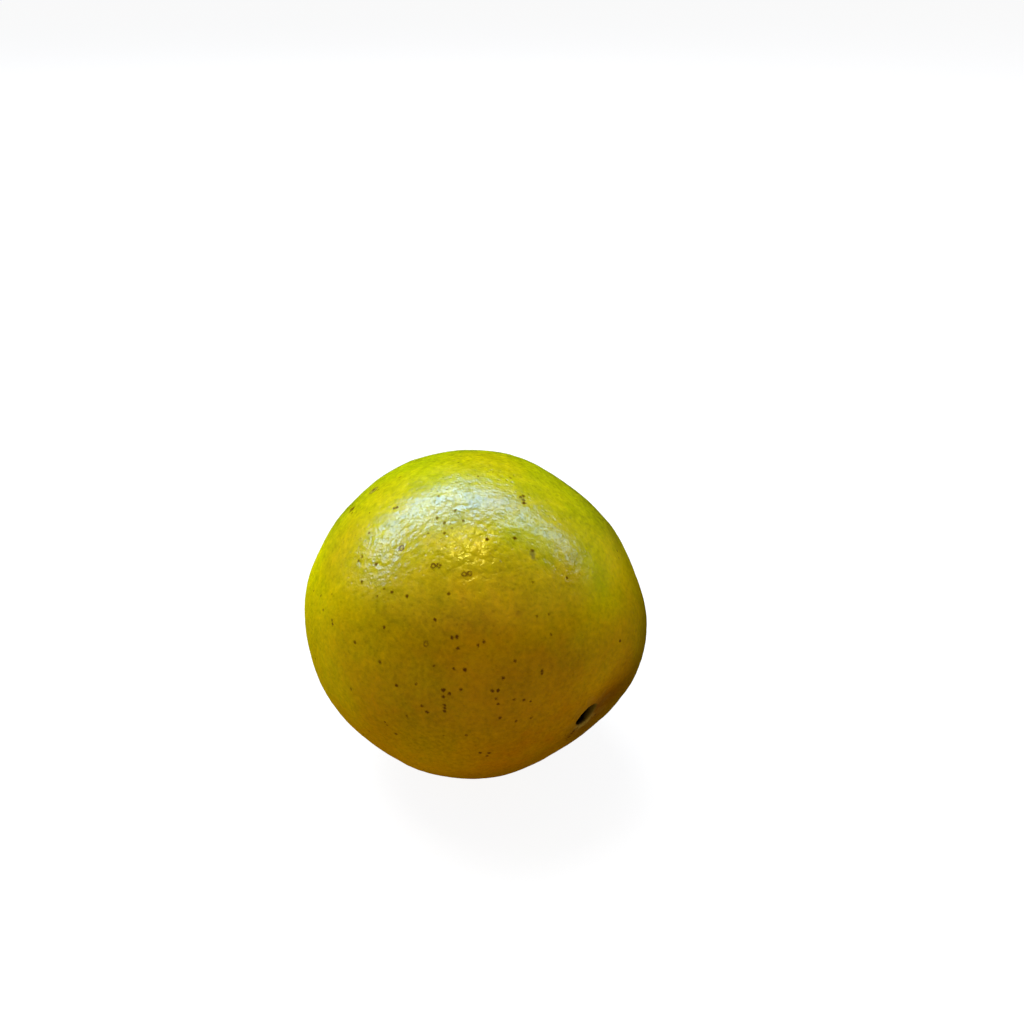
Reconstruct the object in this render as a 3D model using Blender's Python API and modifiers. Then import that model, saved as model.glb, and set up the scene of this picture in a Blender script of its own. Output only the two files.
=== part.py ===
"""A sweet orange lying on its side, with the woody button of its stem sunk in the stem pit.

Metres, +Z up. The origin is on the surface that the fruit rests on, under the middle of its box.
The stem end looks forward (-Y), to the right (+X) and a little down.
"""

import math
import random

import bmesh
import bpy
from mathutils import Matrix, Vector

MM = 0.001

# The fruit's own shape, before it is laid down: its core line is Z, the stem end is at +Z.
EQUATOR_RADIUS = 36.6 * MM
POLE_RADIUS = 36.4 * MM
STEM_FLATTENING = 1.7 * MM
STEM_FLAT_RADIUS = 13.0 * MM
STYLAR_FLATTENING = 0.9 * MM
STYLAR_FLAT_RADIUS = 10.0 * MM
STYLAR_SCAR_DEPTH = 0.7 * MM
STYLAR_SCAR_RADIUS = 1.7 * MM

# The pit that the stem grew from.
PIT_RADIUS = 3.3 * MM
PIT_DEPTH = 3.5 * MM
PIT_TAPER = 0.25 * MM
LIP_ROUNDING = 0.9 * MM
FLOOR_ROUNDING = 0.8 * MM
PIT_BLEND = 7.0 * MM

# Shallow furrows that run out from the pit like spokes: each one's place round the pit in degrees.
FURROW_PLACES = (8, 47, 95, 128, 170, 214, 251, 290, 331)
FURROW_DEPTH = 0.45 * MM
FURROW_WIDTH = math.radians(9)
FURROW_DEEPEST_AT = 8.0 * MM
FURROW_REACH = 7.0 * MM

# Soft swells and hollows that make the fruit lopsided, as it lies: azimuth from +X and height above
# the horizon of the middle, half width, all in degrees, and how far the peel stands out.
SWELLS = {
    "right_shoulder": (-17, -7, 26, 2.5 * MM),
    "left_cheek": (181, 9, 27, 1.8 * MM),
    "left_foot": (196, -28, 19, 1.1 * MM),
    "upper_left_cheek": (128, 54, 27, 0.75 * MM),
    "upper_right_hollow": (26, 42, 28, -0.85 * MM),
    "front_hollow": (-50, -36, 18, -0.3 * MM),
    "back_cheek": (80, -12, 34, 0.6 * MM),
}

# Faint waves in the peel, from a seeded draw.
WAVES = 9
WAVE_SEED = 4
WAVE_HEIGHT = 0.07 * MM
WAVE_LENGTHS = (13 * MM, 27 * MM)

# How it lies: the way that the stem end points, and the flat spot under it.
STEM_AZIMUTH = math.radians(-45.5)
STEM_ELEVATION = math.radians(-15)
TURN_ABOUT_CORE = math.radians(20)
REST_SPOT_DEPTH = 0.5 * MM
REST_EASING_RADIUS = 13.0 * MM
REST_EASING_DEPTH = 0.15 * MM

# The button: a dry disc with a raised rim, five blunt sepals and the scar of the broken stalk.
BUTTON_RADIUS = 2.75 * MM
BUTTON_THICKNESS = 1.6 * MM
BUTTON_GAP = 0.3 * MM
BUTTON_HOLLOW = 0.45 * MM
STALK_SCAR_RADIUS = 0.9 * MM
STALK_SCAR_RISE = 0.35 * MM
SEPALS = 5
SEPAL_NOTCH = 0.28 * MM

# How fine the meshes are.
PEEL_STEPS = 84
PEEL_RINGS = 44
BUTTON_STEPS = 40


def arc(centre_radius, centre_height, radius, start, end, points):
    """Points (radius, height) along an arc, whose angles in degrees run from the +radius direction."""
    found = []
    for i in range(points):
        angle = math.radians(start + (end - start) * i / (points - 1))
        found.append((centre_radius + radius * math.cos(angle), centre_height + radius * math.sin(angle)))
    return found


def peel_height(radius, slope_angle):
    """Height of the peel at this distance from the core line, where slope_angle is measured from the stem end."""
    height = POLE_RADIUS * math.cos(slope_angle)
    if slope_angle < math.pi / 2:
        return height - STEM_FLATTENING * math.exp(-((radius / STEM_FLAT_RADIUS) ** 2))
    height += STYLAR_FLATTENING * math.exp(-((radius / STYLAR_FLAT_RADIUS) ** 2))
    return height + STYLAR_SCAR_DEPTH * math.exp(-((radius / STYLAR_SCAR_RADIUS) ** 2))


def peel_profile():
    """Half of the peel's section, from the middle of the pit's floor over the lip to the stylar end."""
    lip_radius = PIT_RADIUS + LIP_ROUNDING
    lip_angle = math.asin(lip_radius / EQUATOR_RADIUS)
    lip_height = peel_height(lip_radius, lip_angle)
    floor_height = lip_height - PIT_DEPTH
    foot_radius = PIT_RADIUS - PIT_TAPER - FLOOR_ROUNDING

    profile = [(0.0, floor_height), (foot_radius * 0.5, floor_height)]
    profile += arc(foot_radius, floor_height + FLOOR_ROUNDING, FLOOR_ROUNDING, -90, 0, 4)
    profile += reversed(arc(lip_radius, lip_height - LIP_ROUNDING, LIP_ROUNDING, 95, 180, 6))
    for i in range(1, PEEL_RINGS):
        share = i / PEEL_RINGS
        share -= 0.35 * math.sin(2 * math.pi * share) / (2 * math.pi)
        angle = lip_angle + (math.pi - lip_angle) * share
        radius = EQUATOR_RADIUS * math.sin(angle)
        profile.append((radius, peel_height(radius, angle)))
    profile.append((0.0, peel_height(0.0, math.pi)))
    return profile


def turned_mesh(name, profile, steps):
    """A closed mesh of this section turned once about Z by a Screw modifier."""
    mesh = bpy.data.meshes.new(name)
    bm = bmesh.new()
    corners = [bm.verts.new((radius, 0.0, height)) for radius, height in profile]
    for first, second in zip(corners, corners[1:]):
        bm.edges.new((first, second))
    bm.to_mesh(mesh)
    bm.free()
    guide = bpy.data.objects.new(name + "_profile", mesh)
    bpy.context.scene.collection.objects.link(guide)
    screw = guide.modifiers.new("turn", "SCREW")
    screw.steps = steps
    screw.render_steps = steps
    screw.use_merge_vertices = True
    screw.merge_threshold = 0.00001
    graph = bpy.context.evaluated_depsgraph_get()
    turned = bpy.data.meshes.new_from_object(guide.evaluated_get(graph))
    turned.name = name
    bpy.data.objects.remove(guide)
    return turned


def furrow(place, radius):
    """How deep the furrows are at this place round the core line, at this distance from it."""
    if radius < PIT_RADIUS:
        return 0.0
    fade = math.exp(-(((radius - FURROW_DEEPEST_AT) / FURROW_REACH) ** 2))
    total = 0.0
    for number, middle in enumerate(FURROW_PLACES):
        away = math.remainder(place - math.radians(middle), 2 * math.pi)
        strength = 0.6 + 0.4 * math.sin(2.3 * number)
        total += strength * math.exp(-((away / FURROW_WIDTH) ** 2))
    return FURROW_DEPTH * fade * total


def direction(azimuth, elevation):
    """Unit vector at these angles, in radians."""
    flat = math.cos(elevation)
    return Vector((flat * math.cos(azimuth), flat * math.sin(azimuth), math.sin(elevation)))


def swell(outward):
    """How far the peel stands out, or in, in this direction."""
    total = 0.0
    for azimuth, elevation, half_width, height in SWELLS.values():
        middle = direction(math.radians(azimuth), math.radians(elevation))
        spread = outward.angle(middle) / math.radians(half_width)
        total += height * math.exp(-(spread**2))
    return total


def draw_waves():
    """The waves' directions, lengths and starts: a wave vector and a phase for each."""
    draw = random.Random(WAVE_SEED)
    waves = []
    for _ in range(WAVES):
        along = direction(draw.uniform(-math.pi, math.pi), math.asin(draw.uniform(-1, 1)))
        waves.append((along * (2 * math.pi / draw.uniform(*WAVE_LENGTHS)), draw.uniform(0, 2 * math.pi)))
    return waves


def laid_down():
    """The turn that takes the core line from +Z to the way that the stem end points."""
    upright_to_lying = Vector((0, 0, 1)).rotation_difference(direction(STEM_AZIMUTH, STEM_ELEVATION))
    return upright_to_lying.to_matrix().to_4x4() @ Matrix.Rotation(TURN_ABOUT_CORE, 4, "Z")


def shape_peel(bm):
    """Presses the furrows in, lays the fruit down and makes it lopsided. The pit keeps its round form."""
    pose = laid_down()
    waves = draw_waves()
    stem = direction(STEM_AZIMUTH, STEM_ELEVATION)
    with_pit = stem * swell(stem)
    for vert in bm.verts:
        radius = math.hypot(vert.co.x, vert.co.y)
        stem_side = vert.co.z > 0
        if stem_side:
            vert.co.z -= furrow(math.atan2(vert.co.y, vert.co.x), radius)
        vert.co = pose @ vert.co
        outward = vert.co.normalized()
        stand_out = swell(outward)
        for wave, phase in waves:
            stand_out += WAVE_HEIGHT * math.sin(wave.dot(outward * EQUATOR_RADIUS) + phase)
        clear = (radius - PIT_RADIUS - LIP_ROUNDING) / PIT_BLEND if stem_side else 1.0
        clear = min(max(clear, 0.0), 1.0)
        vert.co += with_pit.lerp(outward * stand_out, clear * clear * (3 - 2 * clear))


def ease_underside(bm, lowest):
    """The peel's own weight spreads it a little round the spot that it rests on."""
    for vert in bm.verts:
        if vert.co.z > 0:
            continue
        aside = math.hypot(vert.co.x - lowest.x, vert.co.y - lowest.y)
        vert.co.z += REST_EASING_DEPTH * math.exp(-((aside / REST_EASING_RADIUS) ** 2))


def cut_rest_spot(bm):
    """Cuts the lowest part off level, so that the fruit rests on a small flat spot."""
    level = min(vert.co.z for vert in bm.verts) + REST_SPOT_DEPTH
    cut = bmesh.ops.bisect_plane(
        bm,
        geom=bm.verts[:] + bm.edges[:] + bm.faces[:],
        plane_co=(0, 0, level),
        plane_no=(0, 0, -1),
        clear_outer=True,
    )
    rim = [item for item in cut["geom_cut"] if isinstance(item, bmesh.types.BMEdge)]
    bmesh.ops.contextual_create(bm, geom=rim)


def make_button_mesh():
    """The button upright: section turned about Z, then notched between its sepals."""
    rim = 0.35 * BUTTON_THICKNESS
    profile = [(0.0, 0.0), (BUTTON_RADIUS * 0.55, 0.0)]
    profile += arc(BUTTON_RADIUS - rim, rim, rim, -90, 90, 7)
    crown_height = BUTTON_THICKNESS - rim
    profile[-1] = (BUTTON_RADIUS - rim * 1.1, crown_height + 0.35 * rim)
    profile += [
        (BUTTON_RADIUS * 0.66, crown_height + 0.95 * rim),
        (BUTTON_RADIUS * 0.55, crown_height + 0.8 * rim),
        (BUTTON_RADIUS * 0.45, BUTTON_THICKNESS - BUTTON_HOLLOW),
        (STALK_SCAR_RADIUS * 1.05, BUTTON_THICKNESS - BUTTON_HOLLOW),
        (STALK_SCAR_RADIUS * 0.8, BUTTON_THICKNESS - BUTTON_HOLLOW + STALK_SCAR_RISE),
        (STALK_SCAR_RADIUS * 0.35, BUTTON_THICKNESS - BUTTON_HOLLOW + STALK_SCAR_RISE * 0.6),
        (0.0, BUTTON_THICKNESS - BUTTON_HOLLOW + STALK_SCAR_RISE * 0.3),
    ]
    mesh = turned_mesh("stem_button", profile[::-1], BUTTON_STEPS)
    for vert in mesh.vertices:
        radius = math.hypot(vert.co.x, vert.co.y)
        place = math.atan2(vert.co.y, vert.co.x)
        notch = abs(math.cos(SEPALS * place / 2)) ** 6
        outer = max(0.0, radius / BUTTON_RADIUS - 0.45)
        vert.co.z -= SEPAL_NOTCH * notch * outer * (vert.co.z / BUTTON_THICKNESS)
        shrink = 1 - 0.6 * SEPAL_NOTCH / BUTTON_RADIUS * notch * outer
        vert.co.x *= shrink
        vert.co.y *= shrink
    return mesh


def material(name, colour, roughness):
    """A plain finish."""
    made = bpy.data.materials.new(name)
    made.use_nodes = True
    shader = made.node_tree.nodes["Principled BSDF"]
    shader.inputs["Base Color"].default_value = (*colour, 1)
    shader.inputs["Roughness"].default_value = roughness
    shader.inputs["Metallic"].default_value = 0.0
    return made


def show(mesh, name, collection, finish):
    """Puts the mesh in the collection as an object with smooth shading."""
    made = bpy.data.objects.new(name, mesh)
    collection.objects.link(made)
    mesh.materials.clear()
    mesh.materials.append(finish)
    mesh.shade_smooth()
    mesh.set_sharp_from_angle(angle=math.radians(50))
    return made


def clear_scene():
    for old in list(bpy.data.objects):
        bpy.data.objects.remove(old)


def move_to_origin(*meshes):
    """Stands the fruit on Z = 0 with the middle of its box over the origin. The first mesh sets the box."""
    corners = [vert.co for vert in meshes[0].vertices]
    low = Vector([min(co[axis] for co in corners) for axis in range(3)])
    high = Vector([max(co[axis] for co in corners) for axis in range(3)])
    shift = Vector((-(low.x + high.x) / 2, -(low.y + high.y) / 2, -low.z))
    for mesh in meshes:
        mesh.transform(Matrix.Translation(shift))


def pit_floor_height():
    """How far the pit's floor is from the fruit's middle, along the core line."""
    lip_radius = PIT_RADIUS + LIP_ROUNDING
    lip_height = peel_height(lip_radius, math.asin(lip_radius / EQUATOR_RADIUS))
    return lip_height - PIT_DEPTH + swell(direction(STEM_AZIMUTH, STEM_ELEVATION))


def main():
    clear_scene()
    orange = bpy.data.collections.new("sweet_orange")
    bpy.context.scene.collection.children.link(orange)

    peel = turned_mesh("fruit", peel_profile(), PEEL_STEPS)
    bm = bmesh.new()
    bm.from_mesh(peel)
    bmesh.ops.remove_doubles(bm, verts=bm.verts, dist=0.00001)
    shape_peel(bm)
    lowest = min(bm.verts, key=lambda vert: vert.co.z).co.copy()
    ease_underside(bm, lowest)
    cut_rest_spot(bm)
    bmesh.ops.recalc_face_normals(bm, faces=bm.faces)
    bm.to_mesh(peel)
    bm.free()

    button = make_button_mesh()
    button.transform(Matrix.Translation((0, 0, pit_floor_height() + BUTTON_GAP)))
    button.transform(laid_down())

    move_to_origin(peel, button)
    show(peel, "fruit", orange, material("peel", (0.36, 0.29, 0.01), 0.35))
    show(button, "stem_button", orange, material("button", (0.23, 0.19, 0.13), 0.8))


main()
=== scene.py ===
# %% [markdown]
# # A sweet orange, dressed for its picture
#
# This lesson dresses a plain solid of an orange that lies on its side. The solid gives the size and
# the outline. The lesson adds what the eye looks for in a real fruit: pebbled peel, green that runs
# into ochre, a waxy gloss, and the dry button in its pit.
#
# The first cell loads the solid, keeps its box, and takes everything out of the selection, because
# an operator acts on all that is selected.

# %% Load the solid
import math
import bmesh
import bpy
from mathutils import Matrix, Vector


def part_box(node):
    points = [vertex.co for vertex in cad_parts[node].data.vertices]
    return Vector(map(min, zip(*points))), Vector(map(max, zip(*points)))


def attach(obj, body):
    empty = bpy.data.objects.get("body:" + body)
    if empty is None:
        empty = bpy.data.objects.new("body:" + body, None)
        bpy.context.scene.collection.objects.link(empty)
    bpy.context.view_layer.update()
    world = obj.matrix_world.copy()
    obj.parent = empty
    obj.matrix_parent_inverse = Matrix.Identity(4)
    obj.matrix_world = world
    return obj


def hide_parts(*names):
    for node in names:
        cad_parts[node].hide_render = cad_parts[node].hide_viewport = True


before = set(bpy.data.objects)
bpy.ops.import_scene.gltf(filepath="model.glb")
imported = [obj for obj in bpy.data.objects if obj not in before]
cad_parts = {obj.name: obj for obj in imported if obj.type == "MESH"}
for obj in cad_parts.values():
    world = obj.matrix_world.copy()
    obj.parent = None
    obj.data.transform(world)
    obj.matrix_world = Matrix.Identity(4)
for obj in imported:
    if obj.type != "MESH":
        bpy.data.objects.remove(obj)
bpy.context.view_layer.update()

MM = 0.001

bpy.ops.object.select_all(action="DESELECT")
low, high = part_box("fruit")
fruit_middle = (low + high) / 2
print("the solid is", [round(side / MM, 1) for side in high - low], "mm")

# %% [markdown]
# ## Which way the stem end looks
#
# An orange is nearly a ball, but everything on it is laid out round its core line: the pit, the
# furrows and the scar at the other end. So the lesson needs that line before anything else. The
# button sits on it, so the middle of the button gives a point, and two angles give the way.

# %% Find the core line
STEM_AZIMUTH = math.radians(-45.5)
STEM_ELEVATION = math.radians(-15)

stem_way = Vector(
    (
        math.cos(STEM_ELEVATION) * math.cos(STEM_AZIMUTH),
        math.cos(STEM_ELEVATION) * math.sin(STEM_AZIMUTH),
        math.sin(STEM_ELEVATION),
    )
)
button_low, button_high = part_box("stem_button")
button_middle = (button_low + button_high) / 2


def along_and_aside(point):
    """How far a point is along the core line from the button, and how far from that line."""
    way = point - button_middle
    along = way.dot(stem_way)
    return along, (way - stem_way * along).length


LIP_RING = (4.0 * MM, 4.8 * MM)

lip = []
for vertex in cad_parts["fruit"].data.vertices:
    along, aside = along_and_aside(vertex.co)
    if along > 0 and LIP_RING[0] < aside < LIP_RING[1]:
        lip.append(along)
lip_height = sum(lip) / len(lip)
lip_middle = button_middle + stem_way * lip_height
print("the lip stands", round(lip_height / MM, 2), "mm past the button's middle")

# %% [markdown]
# ## A smooth guide
#
# The solid is faceted, for its physics. The peel should be smooth between the facets, so a copy of
# the solid is merged, its triangles are joined to four-sided faces, and a Subdivision Surface
# rounds it. A Smooth modifier softens the furrows round the pit, which are crisper on the solid
# than on a fruit. The copy only guides the peel, and is removed later. The solid isn't touched.


# %% Make the guide
def apply_modifier(piece, kind, **settings):
    """Adds one modifier to a piece with these settings and applies it."""
    bpy.ops.object.select_all(action="DESELECT")
    piece.select_set(True)
    bpy.context.view_layer.objects.active = piece
    modifier = piece.modifiers.new(kind.lower(), kind)
    for name, value in settings.items():
        setattr(modifier, name, value)
    bpy.ops.object.modifier_apply(modifier=modifier.name)


def edit(piece):
    """Opens one piece, and only that piece, in edit mode."""
    bpy.ops.object.mode_set(mode="OBJECT")
    bpy.ops.object.select_all(action="DESELECT")
    piece.select_set(True)
    bpy.context.view_layer.objects.active = piece
    bpy.ops.object.mode_set(mode="EDIT")


def leave_edit():
    bpy.ops.object.mode_set(mode="OBJECT")


MERGE_WITHIN = 0.01 * MM
SOFTENING_ROUNDS = 24

guide = bpy.data.objects.new("smooth_guide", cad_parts["fruit"].data.copy())
bpy.context.scene.collection.objects.link(guide)
bpy.context.view_layer.objects.active = guide
edit(guide)
bpy.ops.mesh.select_all(action="SELECT")
bpy.ops.mesh.remove_doubles(threshold=MERGE_WITHIN)
bpy.ops.mesh.tris_convert_to_quads()
leave_edit()
apply_modifier(guide, "SUBSURF", levels=2, render_levels=2)
apply_modifier(guide, "SMOOTH", factor=0.5, iterations=SOFTENING_ROUNDS)
print("the guide has", len(guide.data.polygons), "faces")

# %% [markdown]
# ## The peel's first form
#
# A ball with poles has long thin faces there, and relief would smear on them. A cube that is
# subdivided and cast to a sphere has even square faces all over. It is made standing up, with the
# stem end on top, because then the pit can be pressed straight down.

# %% Start the peel as a ball of even faces
CORE_TO_LIP = 34.6 * MM
COARSE_LEVELS = 5

bpy.ops.mesh.primitive_cube_add(size=2 * CORE_TO_LIP)
peel = bpy.context.active_object
peel.name = "orange_peel"
peel.data.name = "orange_peel"
apply_modifier(peel, "SUBSURF", levels=COARSE_LEVELS, render_levels=COARSE_LEVELS)
apply_modifier(
    peel, "CAST", factor=1.0, size=CORE_TO_LIP, use_radius_as_size=False, radius=0.0
)
print("the ball has", len(peel.data.polygons), "faces")

# %% [markdown]
# ## The stem pit
#
# The stalk grew out of a pit with a soft rounded lip. The sixteen faces on top become its mouth.
# Their edge is given the shape of an eye, as the mouth has in the picture, and then the faces are
# extruded down in short steps, each one a little narrower or wider, which is how the lip gets its
# rounding and the wall its form.

# %% Press the pit in
PIT_MOUTH_FACES = 16
MOUTH_RADIUS = 3.5 * MM
MOUTH_WIDTH = 0.97
MOUTH_STRETCH = 0.11
MOUTH_POINTS = 0.05
LONG_SIDE = 1.1
INNER_CORNERS = 0.9
PIT_STEPS = (
    # the radius of the pit, and how deep it is there, in millimetres
    (2.75, -0.2),
    (2.6, -0.8),
    (2.85, -2.0),
    (2.6, -3.3),
)


def mouth_radius(angle):
    """The mouth's radius at an angle round the core line: an eye, pointed at its two ends."""
    turned = angle - LONG_SIDE
    stretch = MOUTH_STRETCH * math.cos(2 * turned) + MOUTH_POINTS * math.cos(4 * turned)
    return MOUTH_RADIUS * (MOUTH_WIDTH + stretch)


edit(peel)
bpy.ops.mesh.select_mode(type="FACE")
bpy.ops.mesh.select_all(action="DESELECT")
mesh = bmesh.from_edit_mesh(peel.data)
on_top = [face for face in mesh.faces if face.calc_center_median().z > 0]
on_top.sort(key=lambda face: face.calc_center_median().xy.length)
for face in on_top[:PIT_MOUTH_FACES]:
    face.select = True
mouth_corners = {vert for face in on_top[:PIT_MOUTH_FACES] for vert in face.verts}
for vert in mouth_corners:
    edge_of_mouth = any(not face.select for face in vert.link_faces)
    if edge_of_mouth:
        angle = math.atan2(vert.co.y, vert.co.x)
        vert.co.xy = vert.co.xy.normalized() * mouth_radius(angle)
    else:
        vert.co.xy *= INNER_CORNERS
    vert.co.z = CORE_TO_LIP
bmesh.update_edit_mesh(peel.data)

reached, depth = MOUTH_RADIUS / MM, 0.0
for radius_mm, depth_mm in PIT_STEPS:
    bpy.ops.mesh.extrude_region_move(
        TRANSFORM_OT_translate={"value": (0, 0, (depth_mm - depth) * MM)}
    )
    narrower = radius_mm / reached
    bpy.ops.transform.resize(
        value=(narrower, narrower, 1), center_override=(0, 0, CORE_TO_LIP)
    )
    reached, depth = radius_mm, depth_mm
leave_edit()
print("the pit is", -depth, "mm deep and", 2 * reached, "mm wide at its floor")

# %% [markdown]
# ## Laying the fruit down
#
# The ball is turned so that its top looks along the core line, and is moved until the mouth of the
# pit is at the solid's lip. Then the turn and the move are applied, so that the place is in the
# mesh. Everything outside the mouth goes into a group, which the guide will pull on. The pit keeps
# the form that it was given.

# %% Lay the ball down and name its outside
KEPT_RADIUS = 4.5 * MM
KEPT_BELOW_LIP = -4 * MM

peel.rotation_mode = "QUATERNION"
peel.rotation_quaternion = Vector((0, 0, 1)).rotation_difference(stem_way)
peel.location = lip_middle - stem_way * CORE_TO_LIP
bpy.ops.object.transform_apply(location=True, rotation=True, scale=True)

outside = peel.vertex_groups.new(name="outside")
pulled = []
for vertex in peel.data.vertices:
    along, aside = along_and_aside(vertex.co)
    in_mouth = along > KEPT_BELOW_LIP and aside < KEPT_RADIUS
    if not in_mouth:
        pulled.append(vertex.index)
outside.add(pulled, 1.0, "REPLACE")
print("the guide pulls on", len(pulled), "points")

# %% [markdown]
# ## Taking on the solid's shape
#
# A Shrinkwrap pulls the coarse points to the guide. Two rounds of Subdivision Surface make faces
# of about half a millimetre, and a second Shrinkwrap lets them follow the furrows round the pit.

# %% Wrap the peel round the guide
FINE_LEVELS = 2


def wrap():
    apply_modifier(
        peel,
        "SHRINKWRAP",
        target=guide,
        wrap_method="NEAREST_SURFACEPOINT",
        vertex_group="outside",
    )


wrap()
apply_modifier(peel, "SUBSURF", levels=FINE_LEVELS, render_levels=FINE_LEVELS)
wrap()
bpy.data.objects.remove(guide)
print("the peel has", 2 * len(peel.data.polygons), "triangles")

# %% [markdown]
# ## Relief that catches the light
#
# Orange peel is never smooth. Under its skin lie oil glands about a millimetre apart, and the skin
# sinks a little between them. Wider and lower waves run under those. Displace modifiers with
# seeded textures give both, and they have to be in the mesh, because the outline shows them.


# %% Emboss the peel
def relief_texture(name, kind, size, **settings):
    texture = bpy.data.textures.new(name, kind)
    texture.noise_scale = size
    for setting, value in settings.items():
        setattr(texture, setting, value)
    return texture


def emboss(piece, texture, height):
    apply_modifier(
        piece,
        "DISPLACE",
        texture=texture,
        texture_coords="LOCAL",
        strength=height,
        mid_level=0.5,
        direction="NORMAL",
    )


wide_waves = relief_texture("wide_waves", "CLOUDS", 9 * MM, noise_depth=1)
narrow_waves = relief_texture("narrow_waves", "CLOUDS", 3.2 * MM, noise_depth=2)
oil_glands = relief_texture("oil_glands", "VORONOI", 1.25 * MM)
emboss(peel, wide_waves, 0.30 * MM)
emboss(peel, narrow_waves, 0.12 * MM)
emboss(peel, oil_glands, 0.07 * MM)

edit(peel)
mesh = bmesh.from_edit_mesh(peel.data)
for vert in mesh.verts:
    vert.co.z = max(vert.co.z, 0)
bmesh.update_edit_mesh(peel.data)
leave_edit()
peel.data.shade_smooth()
print("the peel is", [round(side / MM, 1) for side in peel.dimensions], "mm")

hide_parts("fruit")
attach(peel, "root")

# %% [markdown]
# ## The woody button
#
# When the fruit is picked, the stalk breaks off and leaves its dry calyx behind: a small woody disc
# with five blunt lobes, a raised rim, and a stub in its hollow. A disc is inset and pushed down for
# the hollow, then inset and pulled up for the stub, like a button on a lathe. After that the rim is
# pulled out into its lobes by the angle of each point.

# %% Turn the button
BUTTON_RADIUS = 2.75 * MM
BUTTON_FOOT = -0.85 * MM
BUTTON_SIDES = 40
BUTTON_STEPS = (
    # how wide the top face becomes, and how high it then stands, in millimetres
    (2.62, 0.35),
    (2.3, 0.62),
    (1.9, 0.58),
    (1.45, 0.18),
    (1.05, 0.08),
    (0.92, 0.42),
    (0.72, 0.55),
    (0.4, 0.36),
)

bpy.ops.object.select_all(action="DESELECT")
bpy.ops.mesh.primitive_cylinder_add(
    vertices=BUTTON_SIDES, radius=BUTTON_RADIUS, depth=0.5 * MM, end_fill_type="TRIFAN"
)
button = bpy.context.active_object
button.name = "woody_button"
button.data.name = "woody_button"
edit(button)
bpy.ops.mesh.select_mode(type="FACE")
bpy.ops.mesh.select_all(action="DESELECT")
mesh = bmesh.from_edit_mesh(button.data)
for vert in mesh.verts:
    vert.co.z = 0 if vert.co.z > 0 else BUTTON_FOOT
for face in mesh.faces:
    face.select = all(vert.co.z == 0 for vert in face.verts)
bmesh.update_edit_mesh(button.data)

reached, height = BUTTON_RADIUS / MM, 0.0
for radius_mm, height_mm in BUTTON_STEPS:
    bpy.ops.mesh.extrude_region_move(
        TRANSFORM_OT_translate={"value": (0, 0, (height_mm - height) * MM)}
    )
    narrower = radius_mm / reached
    bpy.ops.transform.resize(value=(narrower, narrower, 1), center_override=(0, 0, 0))
    reached, height = radius_mm, height_mm
leave_edit()
print("the button is", [round(side / MM, 2) for side in button.dimensions], "mm")

# %% [markdown]
# ## Five lobes and a dry crust
#
# The five sepals are what makes it a calyx and not a washer. Each point is moved in or out by a
# cosine of its angle, the more the further out it is. Then the disc is subdivided and roughened,
# because dried wood shrinks unevenly.

# %% Shape the lobes and set the button in its pit
LOBES = 5
LOBE_DEPTH = 0.13
LOBE_DROOP = 0.18 * MM

edit(button)
mesh = bmesh.from_edit_mesh(button.data)
for vert in mesh.verts:
    outwards = vert.co.xy.length / BUTTON_RADIUS
    angle = math.atan2(vert.co.y, vert.co.x)
    notch = (0.5 - 0.5 * math.cos(LOBES * angle)) ** 3
    vert.co.xy *= 1 - LOBE_DEPTH * notch * outwards
    if vert.co.z > 0:
        vert.co.z -= LOBE_DROOP * notch * outwards
bmesh.update_edit_mesh(button.data)
leave_edit()
apply_modifier(button, "SUBSURF", levels=2, render_levels=2)
emboss(button, relief_texture("dry_ridges", "CLOUDS", 0.7 * MM, noise_depth=3), 0.3 * MM)

button.rotation_mode = "QUATERNION"
button.rotation_quaternion = Vector((0, 0, 1)).rotation_difference(stem_way)
button.location = button_middle
bpy.ops.object.select_all(action="DESELECT")
button.select_set(True)
bpy.ops.object.transform_apply(location=True, rotation=True, scale=True)
button.data.shade_smooth()
print("the button has", len(button.data.polygons), "faces")

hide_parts("stem_button")
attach(button, "root")

# %% [markdown]
# ## The camera
#
# The photograph looks down on the fruit by nearly thirty degrees, from a hand's width away, so the
# top is foreshortened. The lens follows from how large the fruit is in the picture. The camera
# comes before the finish, because it can then be used to point at places on the peel.

# %% Set the camera
LENS = 35.16
LOOK_DOWN = math.radians(29.6)
CAMERA_PLACE = (0.00812, -0.18588, 0.16765)
IMAGE_SIDE = 1024

bpy.ops.object.camera_add(
    location=CAMERA_PLACE, rotation=(math.pi / 2 - LOOK_DOWN, 0, 0)
)
camera = bpy.context.active_object
camera.data.lens = LENS
camera.data.clip_start = 0.01
bpy.context.scene.camera = camera
bpy.context.view_layer.update()


def under_pixel(x, y):
    """The point of the peel that shows at a pixel of a picture 1024 pixels wide."""
    pixel = camera.data.sensor_width / camera.data.lens / IMAGE_SIDE
    way = Vector(((x - IMAGE_SIDE / 2) * pixel, (IMAGE_SIDE / 2 - y) * pixel, -1))
    way.rotate(camera.rotation_euler)
    _, point, _, _ = peel.ray_cast(camera.location, way)
    return point


print("the picture's middle shows", [round(c / MM, 1) for c in under_pixel(512, 512)], "mm")

# %% [markdown]
# ## Writing a finish as sums
#
# A finish is a net of nodes, and most of them only add or multiply. The class below wraps a
# socket so that such a sum can be written as one. Any other node comes from its node method.


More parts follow.
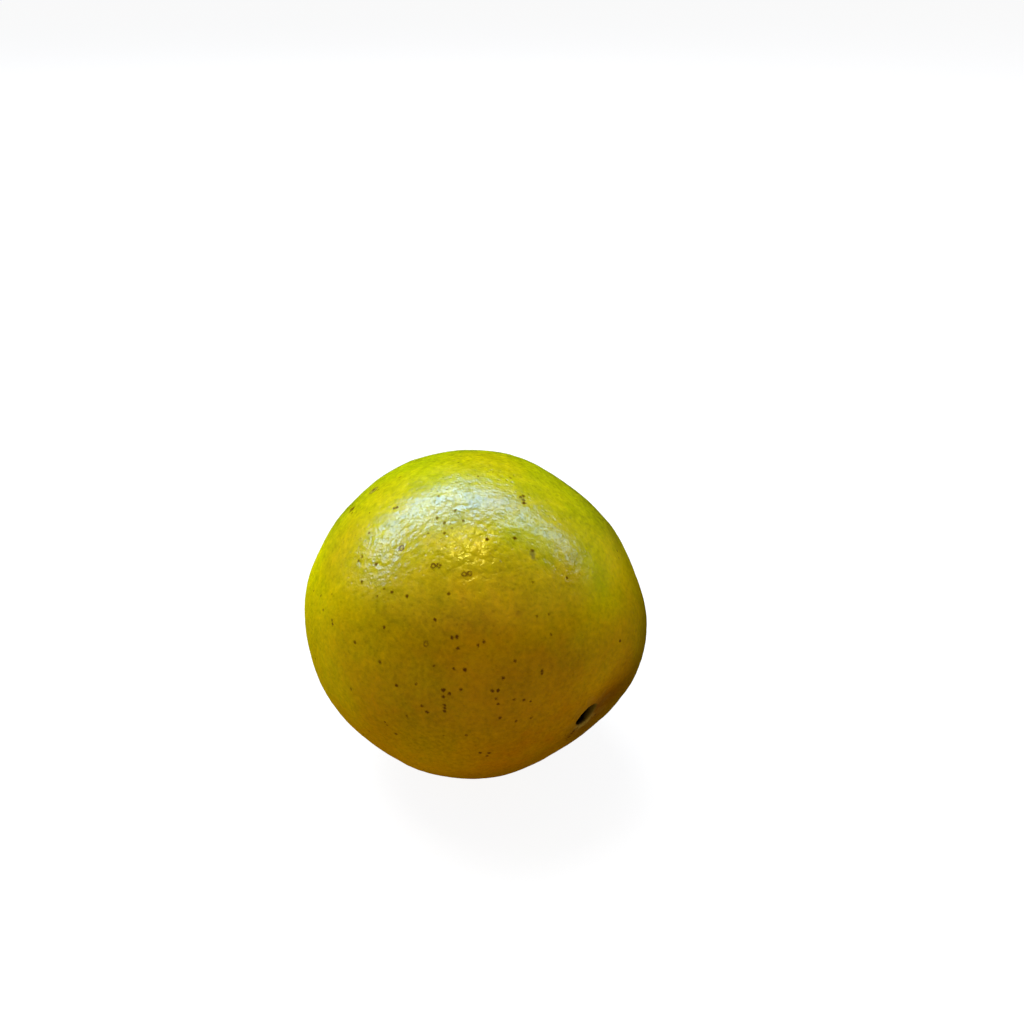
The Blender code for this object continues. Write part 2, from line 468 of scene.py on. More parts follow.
# %% A socket that can be added and multiplied
class Shade:
    """An output of a material's node tree, for use in expressions."""

    def __init__(self, tree, socket):
        self.tree = tree
        self.socket = socket

    def node(self, kind, settings=None, output=0, **inputs):
        """Adds a node of this type, with its settings set first and then its sockets."""
        made = self.tree.nodes.new(kind)
        for name, value in (settings or {}).items():
            if name == "stops":
                paint_stops(made.color_ramp, value)
            else:
                setattr(made, name, value)
        for name, value in inputs.items():
            key = int(name[1:]) if name[0] == "_" else name.replace("_", " ")
            self.feed(made.inputs[key], value)
        return Shade(self.tree, made.outputs[output])

    def feed(self, target, value):
        if isinstance(value, Shade):
            self.tree.links.new(value.socket, target)
        else:
            target.default_value = value

    def maths(self, operation, first, second=0.0):
        return self.node("ShaderNodeMath", {"operation": operation}, _0=first, _1=second)

    def __add__(self, other):
        return self.maths("ADD", self, other)

    __radd__ = __add__

    def __sub__(self, other):
        return self.maths("SUBTRACT", self, other)

    def __rsub__(self, other):
        return self.maths("SUBTRACT", other, self)

    def __mul__(self, other):
        return self.maths("MULTIPLY", self, other)

    __rmul__ = __mul__

    def __truediv__(self, other):
        return self.maths("DIVIDE", self, other)

    def __pow__(self, other):
        return self.maths("POWER", self, other)

    def between(self, start, end):
        """0 below start, 1 above end, smooth between them. start may be above end."""
        return self.node(
            "ShaderNodeMapRange",
            {"interpolation_type": "SMOOTHSTEP"},
            Value=self,
            From_Min=start,
            From_Max=end,
        )

    def vector(self, operation, other=(0, 0, 0), output=0):
        return self.node(
            "ShaderNodeVectorMath", {"operation": operation}, output, _0=self, _1=other
        )

    def grown(self, factor):
        """This vector or colour times a number."""
        return self.node("ShaderNodeVectorMath", {"operation": "SCALE"}, Scale=factor, _0=self)

    def under(self, colour, mask):
        """This colour with another one laid over it where the mask is 1."""
        return self.node(
            "ShaderNodeMix",
            {"data_type": "RGBA", "clamp_factor": True},
            output=2,
            _0=mask,
            _6=self,
            _7=colour,
        )


# %% [markdown]
# ## Starting a finish
#
# Every finish starts with the same few steps: a new material, its shader, and the coordinates of
# the piece that it is painted on. Colours are written as they look on a screen, from 0 to 255, and
# are turned into the linear ones that a shader takes.


# %% Helpers for a finish
def paint_stops(ramp, stops):
    """Sets a colour ramp's stops from (place, colour) pairs."""
    while len(ramp.elements) > 1:
        ramp.elements.remove(ramp.elements[-1])
    ramp.elements[0].position = stops[0][0]
    ramp.elements[0].color = stops[0][1]
    for place, colour in stops[1:]:
        ramp.elements.new(place).color = colour


def finish_tree(name):
    """A new material, its Principled shader and its object coordinates."""
    made = bpy.data.materials.new(name)
    made.use_nodes = True
    tree = made.node_tree
    shader = tree.nodes["Principled BSDF"]
    place = Shade(tree, tree.nodes.new("ShaderNodeTexCoord").outputs["Object"])
    return made, shader, place


def dress(piece, finish):
    piece.data.materials.clear()
    piece.data.materials.append(finish)


def linear(red, green, blue):
    """A screen colour from 0 to 255 as the linear colour that a shader takes."""
    shares = [value / 255 for value in (red, green, blue)]
    return (
        *[s / 12.92 if s <= 0.04045 else ((s + 0.055) / 1.055) ** 2.4 for s in shares],
        1.0,
    )


print("a screen grey of 128 is", round(linear(128, 128, 128)[0], 3), "in a shader")

# %% [markdown]
# ## Noise at several sizes
#
# Nothing on a fruit is even, so every mask is broken up by noise. Broad noise shifts a whole cheek,
# mottling is some millimetres across, and the finest noise is below a gland. They are made once
# and shared by the colour, the gloss and the bump, because on a real peel those follow each other.


# %% Make the peel's noises
def noise(place, size, detail=2.0, rough=0.5, warp=0.0, output=0):
    """Noise from 0 to 1 whose lumps are about this size in metres."""
    return place.node(
        "ShaderNodeTexNoise",
        None,
        output,
        Vector=place,
        Scale=1 / size,
        Detail=detail,
        Roughness=rough,
        Distortion=warp,
    )


def cells(place, size, output=0):
    """The distance to the nearest of many scattered points, about this far apart."""
    return place.node("ShaderNodeTexVoronoi", None, output, Vector=place, Scale=1 / size)


peel_finish, peel_shader, place = finish_tree("waxy_peel")
broad = noise(place, 14 * MM, 3, 0.55, 0.4)
mottle = noise(place, 3.5 * MM, 5, 0.65, 0.6)
fine = noise(place, 0.9 * MM, 4, 0.65)
glands = cells(place, 1.15 * MM)
print("the peel's finish starts with", len(peel_finish.node_tree.nodes), "nodes")

# %% [markdown]
# ## How ripe the peel is
#
# A fruit that hangs in the shade of its tree doesn't colour all round at once. This one is lime
# green where it looks up and back, and runs through yellow and gold to a brown ochre low down in
# front. The ramp darkens on the way, partly the peel's own colour and partly painted shade low on
# the fruit. One number, the ripeness, says how far the peel has come, and a ramp gives its colour.
# The ripeness mostly follows one direction. A few patches ripened sooner or later than that.

# %% Work out the ripeness
RIPE_AND_SHADE_WAY = Vector((0.19, -0.81, -0.56))
# Partly painted shade: the ramp darkens towards its brown end, which lies low on the fruit in front.
RIPENESS_AND_SHADE_STOPS = (
    (0.00, linear(168, 182, 0)),
    (0.20, linear(183, 180, 0)),
    (0.36, linear(187, 168, 0)),
    (0.56, linear(184, 147, 0)),
    (0.72, linear(170, 122, 0)),
    (0.90, linear(148, 93, 0)),
    (1.00, linear(132, 76, 0)),
)
RIPE_MIDDLE = 0.335
RIPE_RUN = 0.53
RIPE_PATCHES = {
    # the pixel, the patch's radius in millimetres, and how much riper it is
    "top": ((385, 492, 15, 0.15), (515, 470, 8, 0.12), (476, 456, 14, 0.26)),
    "right_shoulder": ((545, 548, 8, -0.14), (590, 515, 12, -0.08), (592, 560, 10, -0.14)),
    "under_shine": ((510, 530, 8, -0.14),),
    "left": ((340, 545, 12, 0.14), (366, 645, 9, -0.05), (335, 690, 12, -0.06)),
    "belly": ((478, 642, 17, 0.11), (545, 660, 12, 0.09), (580, 640, 4.5, -0.08)),
    "right": ((602, 594, 11, -0.14), (618, 685, 11, 0.17)),
    "foot": ((430, 752, 14, -0.10), (590, 712, 10, 0.08)),
}

way = place.vector("SUBTRACT", tuple(fruit_middle)).vector("NORMALIZE")


def facing(direction):
    """How far the peel looks in a direction, from -1 to 1."""
    return way.vector("DOT_PRODUCT", tuple(Vector(direction).normalized()), output=1)


def near(x, y, radius):
    """1 at the place under a pixel, fading to 0 at this many millimetres from it."""
    distance = place.vector("DISTANCE", tuple(under_pixel(x, y)), output=1)
    return distance.between(radius * MM, 0.0)


def patched(value, groups):
    """This value with soft patches added to it, each with its own strength."""
    for patches in groups.values():
        for x, y, radius, strength in patches:
            value = value + near(x, y, radius) * strength
    return value


ripeness_and_shade = RIPE_MIDDLE + RIPE_RUN * facing(RIPE_AND_SHADE_WAY)
ripeness_and_shade = ripeness_and_shade + (broad - 0.5) * 0.22 + (mottle - 0.5) * 0.26
ripeness_and_shade = patched(ripeness_and_shade, RIPE_PATCHES)
peel_colour = place.node("ShaderNodeValToRGB", {"stops": RIPENESS_AND_SHADE_STOPS}, Fac=ripeness_and_shade)
print("the peel ripened sooner or later in", sum(map(len, RIPE_PATCHES.values())), "patches")

# %% [markdown]
# ## Light and dark patches
#
# The peel's lightness changes too, and not together with its ripeness. There is a dull olive shade
# on the left of the belly, and a streak of bright gold down its middle. The side that lay on the
# ground is painted darker, a painted shade that shows as a dark edge low on the right, and the side
# behind it has painted shade too. The lightness multiplies the colour. Mottling at several sizes
# goes into the same number.

# %% Lighten and darken the peel
MIDDLE_LIGHTNESS = 1.05
MOTTLING = 0.85
SKY_WAY = (0, 0.4, 0.9)
CONTACT_SHADE_WAY = (0.425, 0.337, -0.84)
BACK_SHADE_WAY = (0.707, 0.615, -0.35)
# The patches are partly the peel's own tone and partly painted light and shade: those under the
# shine and low on the fruit make up for the lamps.
TONE_AND_PAINTED_LIGHT_PATCHES = {
    # the pixel, the patch's radius in millimetres, and how much lighter it is
    "top": ((476, 460, 9, -0.08), (478, 494, 26, -0.06), (478, 507, 11, -0.14), (478, 528, 6, 0.06)),
    "left_shoulder": ((380, 545, 8, 0.08), (325, 575, 9, -0.16), (374, 600, 7, -0.04)),
    "middle_shoulder": ((476, 545, 7, 0.10), (475, 592, 7, 0.12), (506, 611, 5, 0.20)),
    "right_shoulder": ((584, 514, 10, -0.12), (615, 560, 9, 0.42)),
    "left_belly": ((405, 648, 24, -0.24), (334, 660, 14, 0.05), (348, 662, 7, -0.10)),
    "low_left": ((374, 690, 9, 0.06), (446, 690, 6, -0.04), (428, 742, 14, -0.26)),
    "belly": ((470, 668, 8, 0.22), (474, 700, 8, 0.10), (520, 690, 6, -0.12)),
    "right_belly": ((570, 655, 9, -0.16), (546, 690, 12, 0.04)),
    "foot": ((376, 728, 8, -0.06), (500, 768, 10, 0.12), (580, 730, 8, -0.32)),
}

lightness = MIDDLE_LIGHTNESS + (mottle - 0.5) * MOTTLING + (fine - 0.5) * MOTTLING
# Painted shade: lighter between the glands and darker in their pits, and a little darker on top.
lightness = lightness + glands * 0.16 - 0.10 * facing(SKY_WAY)
lightness = patched(lightness, TONE_AND_PAINTED_LIGHT_PATCHES)
# Painted shade: a dark edge where the fruit lay on the ground, and a darker side behind it.
painted_contact_shade = facing(CONTACT_SHADE_WAY).between(0.05, 0.36)
painted_back_shade = facing(BACK_SHADE_WAY).between(0.1, 0.5)
lightness = lightness * (1 - 0.3 * painted_contact_shade - 0.32 * painted_back_shade)
# The glands' pits darken further, partly their own darker colour and partly painted shade.
dark_glands_and_pit_shade = glands.between(0.30, 0.0) * fine.between(0.35, 0.6)
lightness = lightness * (1 - dark_glands_and_pit_shade * 0.16)
peel_colour = peel_colour.grown(lightness)
print("the peel is lighter or darker in", sum(map(len, TONE_AND_PAINTED_LIGHT_PATCHES.values())), "patches")

# %% [markdown]
# ## Specks
#
# Insects, wind and rubbing twigs leave small dark specks on a peel. Those in the picture are placed
# where they are seen, by their pixel, in bold and faint groups. Each group becomes one distance to
# its nearest speck, and a slight wobble of the place keeps them from being round dots.

# %% Place the specks that show
BOLD_SPECKS = {
    "left_shoulder": ((351, 509), (352, 513), (394, 508), (369, 533), (378, 490)),
    "end_of_shine": ((362, 557), (358.5, 560.5), (376, 564), (362, 582)),
    "under_shine": ((487, 539), (515, 538), (567, 577.5), (392, 592), (407, 596), (448.6, 593.5)),
    "left_belly": ((332, 620), (332.5, 624), (384, 627), (435, 619.5), (458, 648), (396.7, 685.5)),
    "belly": ((452, 638), (457, 637), (478, 645), (484, 642), (454, 668.6), (465, 670)),
    "pair_of_strokes": ((520.5, 497), (523.5, 496), (523.5, 500), (524, 503)),
    "low_cluster": ((443.5, 690), (449.5, 693.5), (443.5, 697), (461, 689), (427, 712)),
    "low_dash": ((444.6, 705), (444.6, 708), (444.6, 711)),
    "right_belly": ((503, 678), (542, 671), (542, 673.5), (524, 700), (530.5, 701), (500, 718)),
    "right_cluster": ((492.5, 691), (498, 690.5), (496, 699), (498, 704)),
    "foot": ((385, 722), (387, 725), (480, 753), (487, 756), (489, 753), (620, 641)),
    "beside_the_pit": ((574.4, 729.4), (573.6, 731)),
}
FAINT_SPECKS = {
    "in_the_shine": ((437, 518), (444.5, 523), (450, 524), (452, 528), (455, 510.5), (478, 476)),
    "crease": ((571.5, 733.5), (569, 737), (567, 740)),
    "top": ((400, 477), (438.5, 496), (493, 472), (533, 582), (577, 500)),
    "under_shine": ((384, 589), (377.5, 596), (444.5, 533), (428, 533.5), (463, 520.5)),
    "middle": ((536.6, 616), (549, 614.5), (551, 634.5), (515, 661), (434, 666), (416, 684)),
    "left": ((355, 642), (380, 662), (351, 689), (323, 610), (332, 594), (369, 731), (407, 716)),
    "low": ((422, 706), (396, 734), (444, 735.5), (466, 735), (514, 699.5), (531, 718), (516, 721)),
}
BOLD_RADIUS = 0.38 * MM
FAINT_RADIUS = 0.34 * MM
WOBBLE = 0.8 * MM

wobble = noise(place, 0.4 * MM, 2, 0.6, output=1).vector("SUBTRACT", (0.5, 0.5, 0.5))
wobbled = place.vector("ADD", wobble.grown(WOBBLE))
size_change = (noise(place, 2.2 * MM, 1, 0.5) - 0.5) * 0.5 * MM


def nearest(groups):
    """The distance to the nearest of the specks in these groups."""
    shortest = None
    for pixels in groups.values():
        for x, y in pixels:
            distance = wobbled.vector("DISTANCE", tuple(under_pixel(x, y)), output=1)
            shortest = place.maths("MINIMUM", shortest, distance) if shortest else distance
    return shortest + size_change


SPECK = linear(82, 42, 8)
faint_specks = nearest(FAINT_SPECKS).between(1.4 * FAINT_RADIUS, 0.2 * FAINT_RADIUS)
bold_specks = nearest(BOLD_SPECKS).between(1.4 * BOLD_RADIUS, 0.3 * BOLD_RADIUS)
peel_colour = peel_colour.under(SPECK, faint_specks * 0.78)
peel_colour = peel_colour.under(SPECK, bold_specks * 0.92)
print("the front has", sum(map(len, BOLD_SPECKS.values())), "bold specks")
print("and", sum(map(len, FAINT_SPECKS.values())), "faint ones")

# %% [markdown]
# ## Specks all round
#
# The sides that don't show need specks too. A cell pattern scatters points, and the random colour
# that each cell carries decides whether it has a speck and how large it is. Broad noise gathers
# them, because real ones come in clusters. The front has its own already, so few are added there.

# %% Scatter specks on the other sides
SPECK_SPACING = 2.6 * MM
FRONT_WAY = (0.05, -0.86, 0.5)

speck_draw = cells(place, SPECK_SPACING, output=1)
speck_draw = speck_draw.node("ShaderNodeSeparateColor", None, 0, Color=speck_draw)
gather = noise(place, 11 * MM, 2, 0.5)
away_from_front = facing(FRONT_WAY).between(0.75, 0.35) * 0.85 + 0.15
has_speck = (speck_draw + (gather - 0.5) * 1.6).between(0.72, 0.78) * away_from_front
speck_reach = 0.05 + 0.09 * speck_draw
random_specks = (cells(wobbled, SPECK_SPACING) / speck_reach).between(1.2, 0.5)
peel_colour = peel_colour.under(SPECK, random_specks * has_speck * 0.85)
print("on the other sides a speck could stand every", round(SPECK_SPACING / MM, 1), "mm")

# %% [markdown]
# ## Old scars
#
# A few marks are larger: healed rings where an insect fed, grey rubbed spots, and a brown smudge.
# A ring is a band of distances, and a spot is a filled one. The marks near the outline are seen
# edge-on, so they are larger on the peel than they look in the picture.

# %% Add rings and rubbed spots
RING_BROWN = linear(96, 62, 10)
RUBBED_GREY = linear(112, 104, 58)
SMUDGE_BROWN = linear(122, 88, 8)
RINGS = (
    # the pixel, the ring's radius in millimetres, and how strong it is
    (373.5, 490.5, 1.1, 0.8),
    (401.5, 548, 0.5, 0.9),
    (433, 566, 0.4, 1.0),
    (438.5, 565.5, 0.4, 1.0),
    (464, 574, 0.4, 0.9),
    (469.5, 573.5, 0.4, 0.9),
    (426, 644, 0.45, 0.75),
)
RUBBED_SPOTS = (
    # the pixel and the spot's radius in millimetres
    (532.5, 553.5, 0.9),
    (533, 557, 0.7),
    (522.5, 499, 0.9),
    (373.5, 490.5, 1.5),
)
DARK_BLOTCHES = (
    (351.5, 510, 1.2),
    (353.5, 508, 0.8),
    (373.5, 490, 0.7),
    (397, 507.5, 0.6),
    (532.5, 550.5, 0.55),
)


def ring(x, y, radius):
    distance = wobbled.vector("DISTANCE", tuple(under_pixel(x, y)), output=1)
    band = place.maths("ABSOLUTE", distance - radius * MM)
    return band.between(0.34 * MM, 0.0) * fine.between(0.34, 0.5)


def blotch(x, y, radius):
    distance = wobbled.vector("DISTANCE", tuple(under_pixel(x, y)), output=1)
    return (distance / MM).between(radius, 0.3 * radius)


scars = 0.0
for x, y, radius, strength in RINGS:
    mark = ring(x, y, radius) * strength
    peel_colour = peel_colour.under(RING_BROWN, mark)
    scars = place.maths("MAXIMUM", scars, mark)
for x, y, radius in RUBBED_SPOTS:
    mark = blotch(x, y, radius)
    peel_colour = peel_colour.under(RUBBED_GREY, mark * 0.6)
    scars = place.maths("MAXIMUM", scars, mark)
for x, y, radius in DARK_BLOTCHES:
    mark = blotch(x, y, radius)
    peel_colour = peel_colour.under(SPECK, mark * 0.8)
    scars = place.maths("MAXIMUM", scars, mark)
smudge = near(519, 611, 1.6) * mottle.between(0.35, 0.55)
peel_colour = peel_colour.under(SMUDGE_BROWN, smudge * 0.6)
print("there are", len(RINGS), "rings and", len(RUBBED_SPOTS) + len(DARK_BLOTCHES), "spots")

# %% [markdown]
# ## The stem end
#
# Round the pit the skin is thinner and has healed grey, in a star whose arms run down between the
# furrows. The star needs two numbers: how far a point is from the core line, and its angle round
# it. Inside the pit the wall is olive near the lip, and further down it is painted black, a painted
# shade for the deep part that lies in shadow. The painted shade starts higher up at one end of the
# mouth, so the distance along the mouth's long side comes in too. A pale band on the lip is a
# painted highlight.

# %% Paint the star and the pit
STAR_GREY = linear(140, 124, 52)
PAINTED_PIT_SHADE = linear(24, 10, 1)
WALL_OLIVE = linear(108, 82, 20)
LIP_HIGHLIGHT_TAN = linear(156, 128, 48)
END_RED = linear(104, 56, 8)
STAR_ARMS = 9
STAR_REACH = 5.6
ARM_LENGTH = 1.4

across = stem_way.orthogonal().normalized()
upright = stem_way.cross(across)
from_lip = place.vector("SUBTRACT", tuple(lip_middle))
along = from_lip.vector("DOT_PRODUCT", tuple(stem_way), output=1) / MM
sideways = from_lip.vector("DOT_PRODUCT", tuple(across), output=1) / MM
upwards = from_lip.vector("DOT_PRODUCT", tuple(upright), output=1) / MM
aside = (sideways * sideways + upwards * upwards) ** 0.5
angle = place.maths("ARCTAN2", upwards, sideways)
at_stem_end = along.between(-12.0, -9.0)

arms = place.maths("COSINE", angle * STAR_ARMS + (broad - 0.5) * 9)
star_edge = STAR_REACH + ARM_LENGTH * arms + (mottle - 0.5) * 4
star = (aside - star_edge).between(1.4, -1.6) * at_stem_end * fine.between(0.2, 0.7)
peel_colour = peel_colour.under(STAR_GREY, star * 0.12)

mouth_side = stem_way.cross(lip_middle - camera.location).normalized()
to_right_end = from_lip.vector("DOT_PRODUCT", tuple(mouth_side), output=1) / MM
away_side = tuple(mouth_side.cross(stem_way))
beyond = from_lip.vector("DOT_PRODUCT", away_side, output=1) / MM
# Painted highlight: a pale band along part of the lip.
painted_lip_highlight = aside.between(4.6, 3.6) * aside.between(2.4, 3.0) * to_right_end.between(2.5, -1.5)
painted_lip_highlight = painted_lip_highlight * beyond.between(-0.5, 1.0) * at_stem_end
peel_colour = peel_colour.under(LIP_HIGHLIGHT_TAN, painted_lip_highlight * fine.between(0.3, 0.55) * 0.7)
peel_colour = peel_colour.under(END_RED, near(598, 706, 1.6) * 0.7)
in_pit = aside.between(4.3, 3.9) * along.between(-0.1, -0.35) * at_stem_end
dark_from = to_right_end * 0.36 + 0.85 + (mottle - 0.5) * 2.0
peel_colour = peel_colour.under(WALL_OLIVE, in_pit)
# Painted shade: the deep part of the pit is painted black.
peel_colour = peel_colour.under(PAINTED_PIT_SHADE, in_pit * (-1 * along - dark_from).between(-0.6, 0.7))
print("the star's arms reach", STAR_REACH + ARM_LENGTH, "mm from the core line")

# %% [markdown]
# ## The other end
#
# Where the flower's style stood is a small brown scar, sunk a little, with a paler ring. It doesn't
# show in the picture, but the fruit is seen from all sides.

# %% Paint the style's scar
SCAR_BROWN = linear(70, 48, 20)
SCAR_RING = linear(150, 128, 40)

_, far_end, _, _ = peel.ray_cast(fruit_middle, -stem_way)
from_far_end = wobbled.vector("DISTANCE", tuple(far_end), output=1)
peel_colour = peel_colour.under(SCAR_RING, from_far_end.between(2.6 * MM, 1.5 * MM) * 0.6)
peel_colour = peel_colour.under(SCAR_BROWN, from_far_end.between(1.1 * MM, 0.75 * MM) * 0.9)
place.feed(peel_shader.inputs["Base Color"], peel_colour)
print("the far scar is at", [round(c / MM, 1) for c in far_end], "mm")

# %% [markdown]
# ## The peel's gloss
#
# Wax makes the gloss, and the glands break it up into a crinkled shine. The pores are a bump here
# as well as relief in the mesh, because they are finer than the mesh's own faces. On the shoulder
# the peel is pebbled: each small dome shows one glint of the lamp. Round the pit fine wrinkles run
# outwards, and the star is dull.

# %% Gloss and pores
DIMPLE_DEPTH = 0.035
CRINKLE_HEIGHT = 0.10
GRAIN_HEIGHT = 0.03
WRINKLE_HEIGHT = 0.04

roughness = 0.22 + (mottle - 0.5) * 0.12 + star * 0.2
place.feed(peel_shader.inputs["Roughness"], roughness)
peel_shader.inputs["IOR"].default_value = 1.45

wrinkles = place.maths("SINE", angle * 15 + (mottle - 0.5) * 10)
wrinkles = wrinkles * aside.between(3.6, 5.0) * aside.between(11.0, 5.0) * at_stem_end
wrinkles = wrinkles * to_right_end.between(1.0, -3.0)
dimples = glands.between(0.36, 0.06)
coarser = 1.0 + near(475, 556, 12) * 0.5 + near(383, 552, 12) * 0.7 + near(563, 550, 9) * 0.5
crinkle = (noise(place, 1.2 * MM, 2, 0.5) - 0.5) * coarser
grain = noise(place, 0.5 * MM, 1, 0.5) - 0.5
peel_height = crinkle * CRINKLE_HEIGHT + grain * GRAIN_HEIGHT + wrinkles * WRINKLE_HEIGHT
pebbles = cells(place, 1.7 * MM)
pebble_height = 0.03 + near(475, 552, 13) * 0.18 + near(383, 552, 12) * 0.06
peel_height = peel_height - pebbles * pebbles * pebble_height
peel_height = peel_height - dimples * DIMPLE_DEPTH
pores = place.node("ShaderNodeBump", None, Strength=1.0, Distance=MM, Height=peel_height)
place.feed(peel_shader.inputs["Normal"], pores)
print("the crinkles in the wax are about", CRINKLE_HEIGHT, "mm high")

# %% [markdown]
# ## Where the wax is gone
#
# The wax isn't even. It is rubbed thin in streaks and on the fruit's underside, and the specks and
# the wall of the pit have none. Roughness alone would still leave a pale veil of reflected sky on
# them, so the dry peel is a shader of its own with no mirror, and a mask mixes the two.

# %% Take the wax off in places
dry_peel = place.node("ShaderNodeBsdfPrincipled", None)
dry_shader = dry_peel.socket.node
dry_shader.inputs["Roughness"].default_value = 0.9
dry_shader.inputs["Specular IOR Level"].default_value = 0.0
place.feed(dry_shader.inputs["Base Color"], peel_colour)
place.feed(dry_shader.inputs["Normal"], pores)
rubbed = noise(place, 1.5 * MM, 3, 0.6, 0.8).between(0.42, 0.66) * 0.45
rubbed = rubbed + fine.between(0.5, 0.75) * 0.3
underside = facing((0, 0, 1)).between(0.62, 0.42) * 0.95
bare = place.maths("MAXIMUM", bold_specks, faint_specks).between(0.0, 0.5)
for unwaxed in (scars, in_pit, rubbed, underside):
    bare = place.maths("MAXIMUM", bare, unwaxed)
wax_or_dry = place.node("ShaderNodeMixShader", None, _0=bare)
place.tree.links.new(peel_shader.outputs[0], wax_or_dry.socket.node.inputs[1])
place.tree.links.new(dry_peel.socket, wax_or_dry.socket.node.inputs[2])
place.tree.links.new(wax_or_dry.socket, place.tree.nodes["Material Output"].inputs["Surface"])
dress(peel, peel_finish)
print("the peel's finish has", len(peel_finish.node_tree.nodes), "nodes")

# %% [markdown]
# ## The button's finish
#
# Dry calyx wood is grey brown and matt, and darker in its cracks. Its hollow is painted shade.
# The cracks run outwards from the stub, so they follow the angle round the core line.

# %% Paint the button
WOOD_GREY = linear(128, 114, 84)
WOOD_BROWN = linear(84, 64, 38)
CRACK_DARK_AND_HOLLOW_SHADE = linear(34, 25, 16)

wood_finish, wood_shader, wood_place = finish_tree("dry_calyx_wood")
from_stub = wood_place.vector("SUBTRACT", tuple(button_middle))
wood_sideways = from_stub.vector("DOT_PRODUCT", tuple(across), output=1) / MM
wood_upwards = from_stub.vector("DOT_PRODUCT", tuple(upright), output=1) / MM
wood_aside = (wood_sideways * wood_sideways + wood_upwards * wood_upwards) ** 0.5
wood_angle = wood_place.maths("ARCTAN2", wood_upwards, wood_sideways)
wood_noise = noise(wood_place, 0.5 * MM, 4, 0.65)
cracks = wood_place.maths("SINE", wood_angle * 19 + wood_noise * 9).between(0.55, 0.95)
# Painted shade in the sunken ring round the stub.
painted_hollow_shade = wood_aside.between(1.7, 1.1) * wood_aside.between(0.55, 0.95)
wood_colour = wood_place.node(
    "ShaderNodeValToRGB", {"stops": ((0.3, WOOD_BROWN), (0.65, WOOD_GREY))}, Fac=wood_noise
)
wood_colour = wood_colour.under(CRACK_DARK_AND_HOLLOW_SHADE, cracks * wood_aside.between(0.7, 1.5) * 0.6)
wood_colour = wood_colour.under(CRACK_DARK_AND_HOLLOW_SHADE, painted_hollow_shade * 0.75)
wood_place.feed(wood_shader.inputs["Base Color"], wood_colour)
wood_shader.inputs["Roughness"].default_value = 0.85
wood_shader.inputs["Specular IOR Level"].default_value = 0.3
wood_bump = wood_place.node(
    "ShaderNodeBump", None, Strength=0.8, Distance=0.08 * MM, Height=wood_noise - cracks * 0.5
)
wood_place.feed(wood_shader.inputs["Normal"], wood_bump)
dress(button, wood_finish)
print("the button's finish has", len(wood_finish.node_tree.nodes), "nodes")

# %% [markdown]
# ## The floor
#
# The picture's ground is plain and nearly white. A large plane that glows a little by itself stays
# that pale at every distance, and still takes a soft shade under the fruit. It is kept out of the
# peel's mirror image and of its light, because the room further down stands in for it.

# %% Lay the floor
FLOOR_SIZE = 20
FLOOR_GREY = 0.16
FLOOR_GLOW = 0.912

bpy.ops.mesh.primitive_plane_add(size=FLOOR_SIZE, location=(0, 0, 0))
floor = bpy.context.active_object
floor.name = "pale_floor"
floor_finish, floor_shader, _ = finish_tree("pale_floor")
floor_shader.inputs["Base Color"].default_value = (FLOOR_GREY, FLOOR_GREY, FLOOR_GREY, 1)
floor_shader.inputs["Roughness"].default_value = 0.9
floor_shader.inputs["Emission Color"].default_value = (1, 1, 1, 1)
floor_shader.inputs["Emission Strength"].default_value = FLOOR_GLOW
dress(floor, floor_finish)
floor.visible_glossy = False
floor.visible_diffuse = False
print("the floor is", FLOOR_SIZE, "m wide")

# %% [markdown]
# ## The lamps
#
# The shine on the fruit is the mirror image of a long bright window overhead. It isn't equally
# bright all along, so it is hung as panes, the brightest left of the middle. The small gold glints
# are the image of a warm bulb. Neither lights the peel's colour: a large neutral lamp does that,
# and it is kept out of the mirror image.

# %% Hang the lamps
SKY = (0.23, 0.46, 1.0)
WARM = (1.0, 0.88, 0.14)
WINDOW_HEIGHT = 1.0
WINDOW_PANES = {
    # the pane's middle in metres from the fruit, its width and depth, and its watts a square metre
    "left_low_pane": ((-1.42, 0.22), (0.62, 0.34), 80),
    "left_high_pane": ((-0.98, 0.37), (0.36, 0.30), 62),
    "bright_pane": ((-0.40, 0.50), (0.80, 0.20), 100),
    "middle_pane": ((0.22, 0.42), (0.52, 0.24), 62),
    "right_pane": ((0.98, 0.38), (1.02, 0.22), 46),
    "end_pane": ((1.80, 0.32), (0.64, 0.26), 24),
    "left_haze": ((-1.60, 0.62), (1.20, 0.36), 12),
    "top_haze": ((-0.45, 0.70), (1.00, 0.20), 12),
}


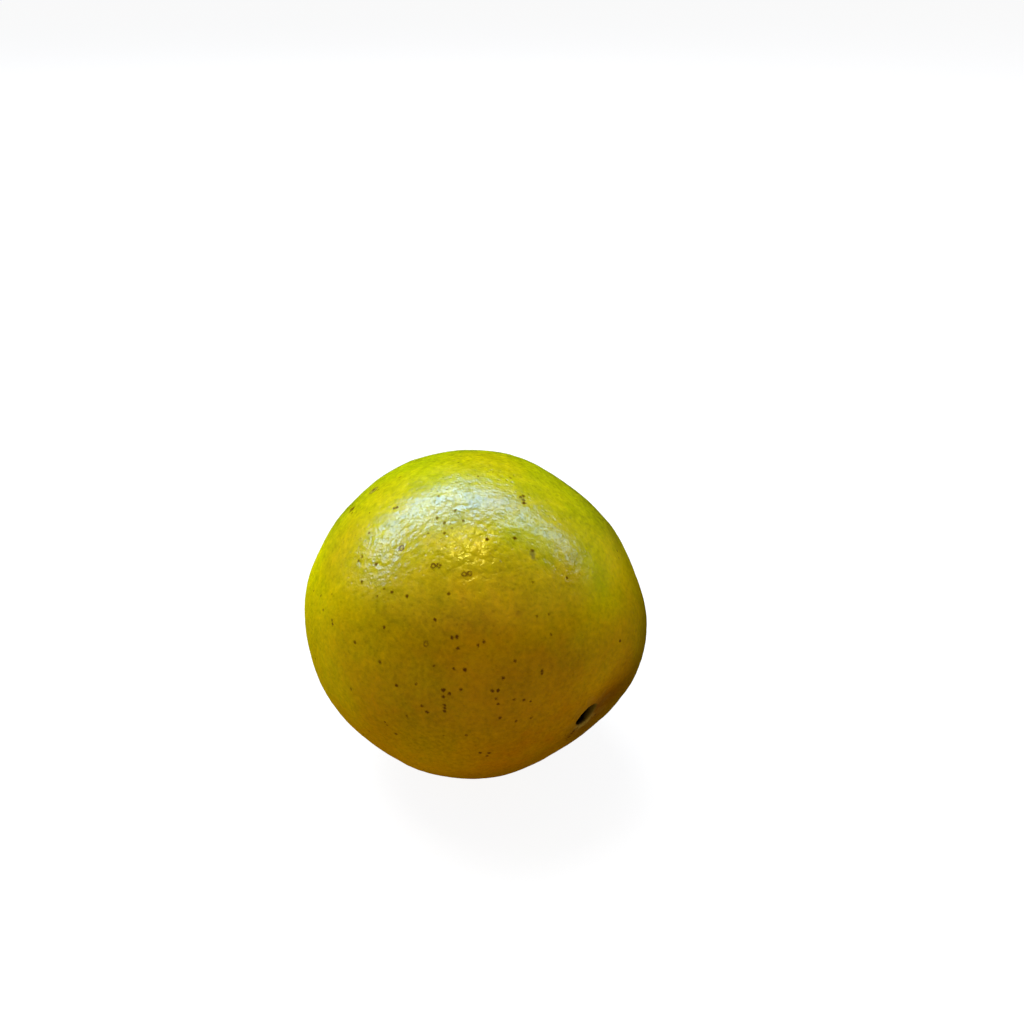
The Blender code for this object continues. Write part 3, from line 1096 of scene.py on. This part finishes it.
def soft_box(name, offset, size, power, colour, gloss=True, diffuse=True, aimed=True):
    """A rectangular light at an offset from the fruit, aimed at it or looking straight down."""
    lamp = bpy.data.lights.new(name, "AREA")
    lamp.shape = "RECTANGLE"
    lamp.size, lamp.size_y = size
    lamp.energy = power
    lamp.color = colour
    made = bpy.data.objects.new(name, lamp)
    bpy.context.scene.collection.objects.link(made)
    made.location = fruit_middle + Vector(offset)
    if aimed:
        made.rotation_euler = Vector(offset).to_track_quat("Z", "Y").to_euler()
    made.visible_glossy = gloss
    made.visible_diffuse = diffuse


soft_box("key", (-0.32, 0.47, 1.05), (1.0, 1.0), 23, (1, 1, 0.98), gloss=False)
for name, (middle, size, brightness) in WINDOW_PANES.items():
    power = brightness * size[0] * size[1]
    soft_box(name, (*middle, WINDOW_HEIGHT), size, power, SKY, diffuse=False, aimed=False)
soft_box("warm_bulb", (-0.07, -0.14, 0.99), (0.16, 0.16), 3.8, WARM, diffuse=False)
print("the window has", len(WINDOW_PANES), "panes")

# %% [markdown]
# ## The room and the floor's bounce
#
# A pale floor throws light up on the fruit, and much of the colour low on its belly depends on
# that. The world stands in for it: below the horizon it is as bright as the floor, but dark
# straight down, where the fruit's own shadow lies. The camera sees plain white.

# %% Fill the room with light
ROOM_LIGHT = 0.25
BOUNCE_LIGHT = 0.98
SHADOW_LIGHT = 0.12

world = bpy.data.worlds.new("studio")
world.use_nodes = True
bpy.context.scene.world = world
backdrop = world.node_tree.nodes["Background"]
backdrop.inputs["Color"].default_value = (1, 1, 1, 1)
seen = world.node_tree.nodes.new("ShaderNodeLightPath").outputs["Is Camera Ray"]
seen_by_camera = Shade(world.node_tree, seen)
look = world.node_tree.nodes.new("ShaderNodeTexCoord").outputs["Generated"]
look = Shade(world.node_tree, look).vector("DOT_PRODUCT", (0, 0, 1), output=1)
room = ROOM_LIGHT + look.between(0.05, -0.1) * (BOUNCE_LIGHT - ROOM_LIGHT)
room = room - look.between(-0.5, -0.95) * (BOUNCE_LIGHT - SHADOW_LIGHT)
room.feed(backdrop.inputs["Strength"], seen_by_camera * (1 - room) + room)
world.cycles_visibility.glossy = False
bpy.context.scene.view_settings.view_transform = "Standard"
print("the scene has", len(bpy.data.lights), "lamps")
